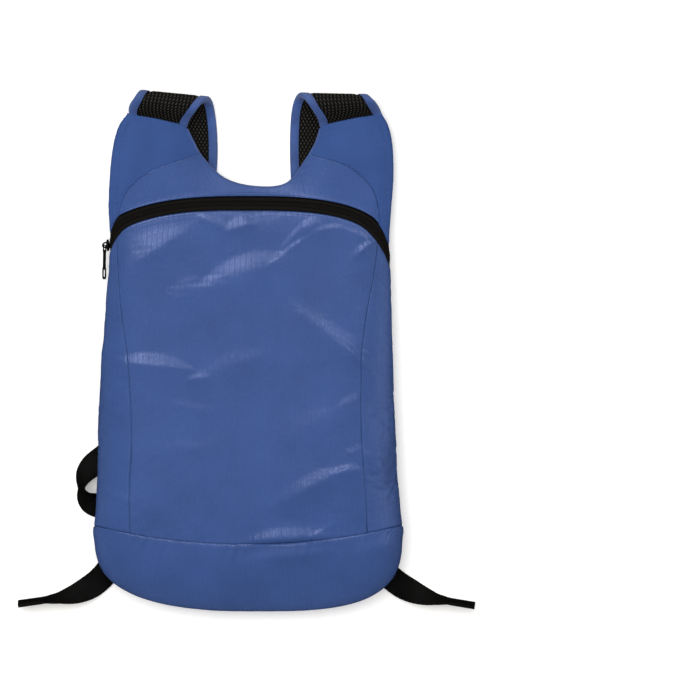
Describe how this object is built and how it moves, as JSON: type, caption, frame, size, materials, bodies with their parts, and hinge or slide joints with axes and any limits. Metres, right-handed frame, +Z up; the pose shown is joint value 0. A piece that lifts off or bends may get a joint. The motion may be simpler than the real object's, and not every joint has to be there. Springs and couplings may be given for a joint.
{
  "type": "sports backpack",
  "caption": "Flat, light sports backpack in thin ripstop cloth with an arched front zip, padded mesh shoulder straps and webbing adjusters, lying on its back.",
  "frame": {"origin": "middle of the overall box, on the floor the bag lies on", "axes": "+X to the right as the front is seen, +Y to the top of the bag, +Z up out of the front"},
  "size_m": [0.3669, 0.4178, 0.0538],
  "materials": {
    "nylon": "blue ripstop, soft sheen",
    "binding": "blue woven edge tape",
    "mesh": "black open air mesh",
    "webbing": "black ribbed webbing",
    "zip": "black coil zip",
    "lock": "black moulded",
    "slider": "black enamel"
  },
  "bodies": {
    "bag": {"front_panel": "nylon", "bottom_panel": "nylon", "yoke_panel": "nylon", "back_panel": "nylon", "side_panel_left": "nylon", "side_panel_right": "nylon", "shoulder_panel_left": "nylon", "shoulder_panel_right": "nylon", "neck_binding": "binding", "strap_binding_inner_left": "binding", "strap_binding_inner_right": "binding", "strap_binding_outer_left": "binding", "strap_binding_outer_right": "binding", "strap_mesh_left": "mesh", "strap_mesh_right": "mesh", "webbing_left": "webbing", "webbing_right": "webbing", "zip_tape_upper": "zip", "zip_tape_lower": "zip", "zip_coil": "zip", "ladder_lock_left": "lock", "ladder_lock_right": "lock", "zip_slider": "slider"},
    "zip_pull": {"zip_pull": "slider"}
  },
  "joints": [
    {"name": "zip_pull_hinge", "type": "hinge", "parent": "bag", "child": "zip_pull", "pos_m": [-0.11448, 0.08404, 0.01479], "axis": [-0.668, 0.1588, -0.727], "range_deg": [0, 150]}
  ]
}
